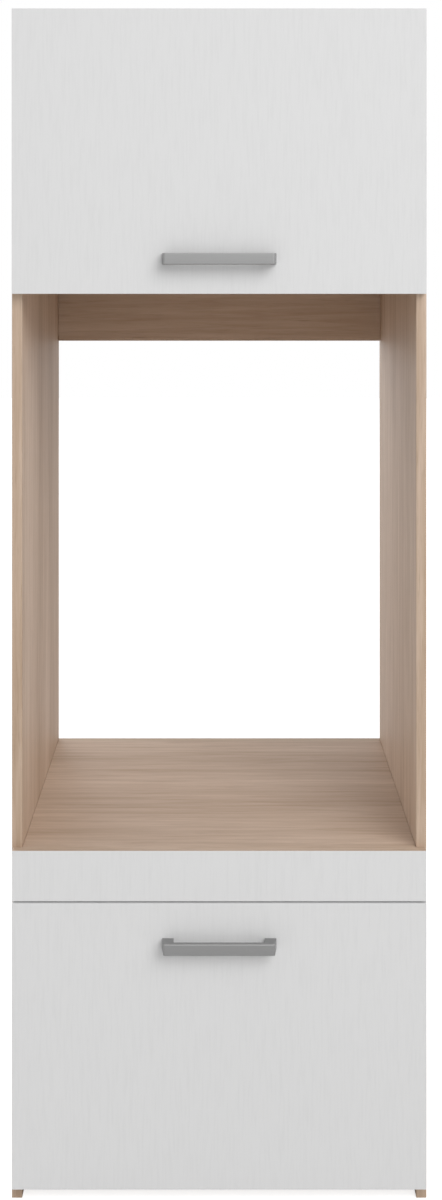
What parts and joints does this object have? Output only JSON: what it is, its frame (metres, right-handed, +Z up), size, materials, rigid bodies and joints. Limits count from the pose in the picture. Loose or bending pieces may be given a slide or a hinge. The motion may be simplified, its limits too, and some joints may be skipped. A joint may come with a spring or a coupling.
{
  "type": "tall laundry cabinet with appliance bay",
  "caption": "Tall narrow laundry cabinet with a lift-up flap above, an open appliance bay and a deep pull-out drawer below, white fronts on an oak-finish carcass.",
  "frame": {"origin": "on the floor, under the middle of the whole cabinet with its handles", "axes": "+X to the right as seen from the front, -Y to the front, +Z up"},
  "size_m": [0.642, 0.6446, 1.84],
  "materials": {
    "oak_board": "chipboard with a matt oak-grain foil and matching edge band",
    "white_front": "chipboard with a fine-grained matt white foil",
    "white_board": "chipboard with a plain white foil",
    "back_panel": "thin hardboard, white on one side",
    "handle": "satin grey",
    "nickel_steel": "nickel plated",
    "zinc_steel": "bright zinc plated",
    "buffer": "soft clear plastic"
  },
  "bodies": {
    "carcass": {"side_panel_left": "oak_board", "side_panel_right": "oak_board", "top_board": "oak_board", "compartment_floor": "oak_board", "bay_shelf": "oak_board", "bottom_board": "oak_board", "support_rail_front": "oak_board", "support_rail_middle": "oak_board", "support_rail_rear": "oak_board", "rear_stretcher": "oak_board", "upper_back_panel": "back_panel", "lower_back_panel": "back_panel", "fascia": "white_front", "hinge_plate_left": "nickel_steel", "hinge_plate_right": "nickel_steel", "hinge_arm_left": "nickel_steel", "hinge_arm_right": "nickel_steel", "stay_bracket_left": "nickel_steel", "stay_bracket_right": "nickel_steel", "flap_buffer_left": "buffer", "flap_buffer_right": "buffer", "runner_cabinet_left": "zinc_steel", "runner_cabinet_right": "zinc_steel", "drawer_buffer_left": "buffer", "drawer_buffer_right": "buffer", "wall_bracket_left": "zinc_steel", "wall_bracket_right": "zinc_steel", "fascia_screw_left": "zinc_steel", "fascia_screw_right": "zinc_steel", "wall_bracket_screw_left": "zinc_steel", "wall_bracket_screw_right": "zinc_steel"},
    "flap": {"flap_panel": "white_front", "flap_handle": "handle", "flap_handle_screw_left": "zinc_steel", "flap_handle_screw_right": "zinc_steel", "hinge_cup_left": "nickel_steel", "hinge_cup_right": "nickel_steel", "hinge_pin_left": "zinc_steel", "hinge_pin_right": "zinc_steel", "flap_bracket_left": "nickel_steel", "flap_bracket_right": "nickel_steel"},
    "stay_arm_left": {"stay_arm_left": "nickel_steel"},
    "stay_arm_right": {"stay_arm_right": "nickel_steel"},
    "stay_link_left": {"stay_link_left": "nickel_steel"},
    "stay_link_right": {"stay_link_right": "nickel_steel"},
    "drawer": {"drawer_front": "white_front", "drawer_handle": "handle", "drawer_handle_screw_left": "zinc_steel", "drawer_handle_screw_right": "zinc_steel", "drawer_side_left": "white_board", "drawer_side_right": "white_board", "drawer_back": "white_board", "drawer_bottom": "back_panel", "drawer_angle_left": "zinc_steel", "drawer_angle_right": "zinc_steel", "runner_drawer_left": "zinc_steel", "runner_drawer_right": "zinc_steel"},
    "runner_middle_left": {"runner_middle_left": "zinc_steel"},
    "runner_middle_right": {"runner_middle_right": "zinc_steel"}
  },
  "joints": [
    {"name": "flap_hinge", "type": "hinge", "parent": "carcass", "child": "flap", "pos_m": [0, -0.28936, 1.8319], "axis": [-1, 0, 0], "range_deg": [0, 90]},
    {"name": "stay_arm_left_hinge", "type": "hinge", "parent": "carcass", "child": "stay_arm_left", "pos_m": [-0.301, -0.21436, 1.7719], "axis": [-1, 0, 0], "range_deg": [0, 90]},
    {"name": "stay_arm_right_hinge", "type": "hinge", "parent": "carcass", "child": "stay_arm_right", "pos_m": [0.301, -0.21436, 1.7719], "axis": [-1, 0, 0], "range_deg": [0, 90]},
    {"name": "stay_knee_left", "type": "hinge", "parent": "stay_arm_left", "child": "stay_link_left", "pos_m": [-0.298, -0.19275, 1.6309], "axis": [-1, 0, 0], "range_deg": [-90, 0]},
    {"name": "stay_knee_right", "type": "hinge", "parent": "stay_arm_right", "child": "stay_link_right", "pos_m": [0.298, -0.19275, 1.6309], "axis": [-1, 0, 0], "range_deg": [-90, 0]},
    {"name": "drawer_slide", "type": "slide", "parent": "carcass", "child": "drawer", "axis": [0, -1, 0], "range_m": [0, 0.5]},
    {"name": "runner_slide_left", "type": "slide", "parent": "carcass", "child": "runner_middle_left", "axis": [0, -1, 0], "range_m": [0, 0.25]},
    {"name": "runner_slide_right", "type": "slide", "parent": "carcass", "child": "runner_middle_right", "axis": [0, -1, 0], "range_m": [0, 0.25]}
  ],
  "couplings": [
    {"joint": "stay_arm_left_hinge", "follows": "flap_hinge", "ratio": 1},
    {"joint": "stay_arm_right_hinge", "follows": "flap_hinge", "ratio": 1},
    {"joint": "stay_knee_left", "follows": "flap_hinge", "ratio": -1},
    {"joint": "stay_knee_right", "follows": "flap_hinge", "ratio": -1},
    {"joint": "runner_slide_left", "follows": "drawer_slide", "ratio": 0.5},
    {"joint": "runner_slide_right", "follows": "drawer_slide", "ratio": 0.5}
  ]
}
